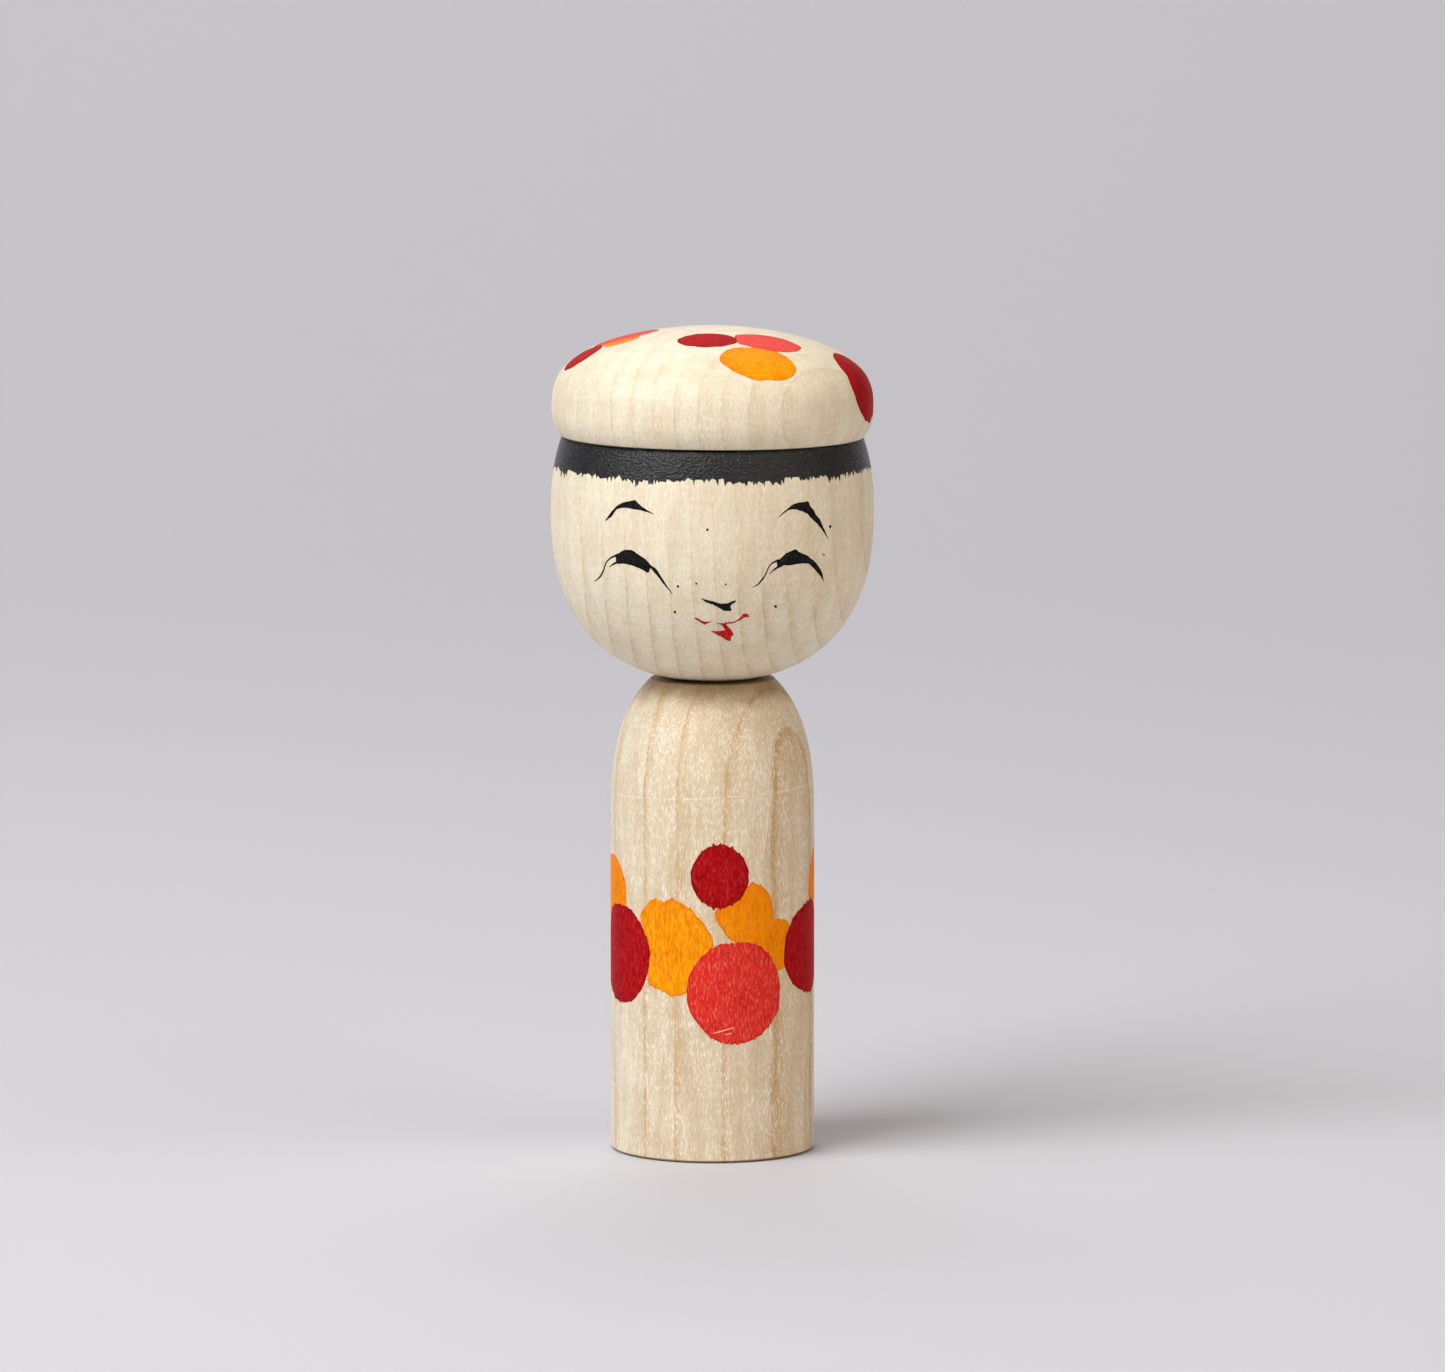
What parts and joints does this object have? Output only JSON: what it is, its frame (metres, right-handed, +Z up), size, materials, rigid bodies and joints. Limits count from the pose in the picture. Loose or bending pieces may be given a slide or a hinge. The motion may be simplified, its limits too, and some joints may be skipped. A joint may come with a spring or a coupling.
{
  "type": "kokeshi doll",
  "caption": "Small turned wooden doll: a straight round body, a large turning head with a painted face, and a flat dotted beret.",
  "frame": {"origin": "centre of the flat foot that the doll stands on", "axes": "+Z up along the doll, -Y the way the painted face looks, +X to the right as seen from the front"},
  "size_m": [0.0414, 0.0414, 0.1061],
  "materials": {
    "body_wood": "waxed pale hardwood, satin, with painted dots",
    "head_wood": "waxed pale hardwood, satin, with a painted face and fringe",
    "beret_wood": "waxed pale hardwood, satin, with painted dots",
    "dowel_wood": "bare hardwood"
  },
  "bodies": {
    "body": {"doll_body": "body_wood"},
    "head": {"doll_head": "head_wood", "beret": "beret_wood", "neck_dowel": "dowel_wood", "beret_dowel": "dowel_wood"}
  },
  "joints": [
    {"name": "neck_turn", "type": "hinge", "parent": "body", "child": "head", "pos_m": [0, 0, 0.061], "axis": [0, 0, 1], "continuous": true}
  ]
}
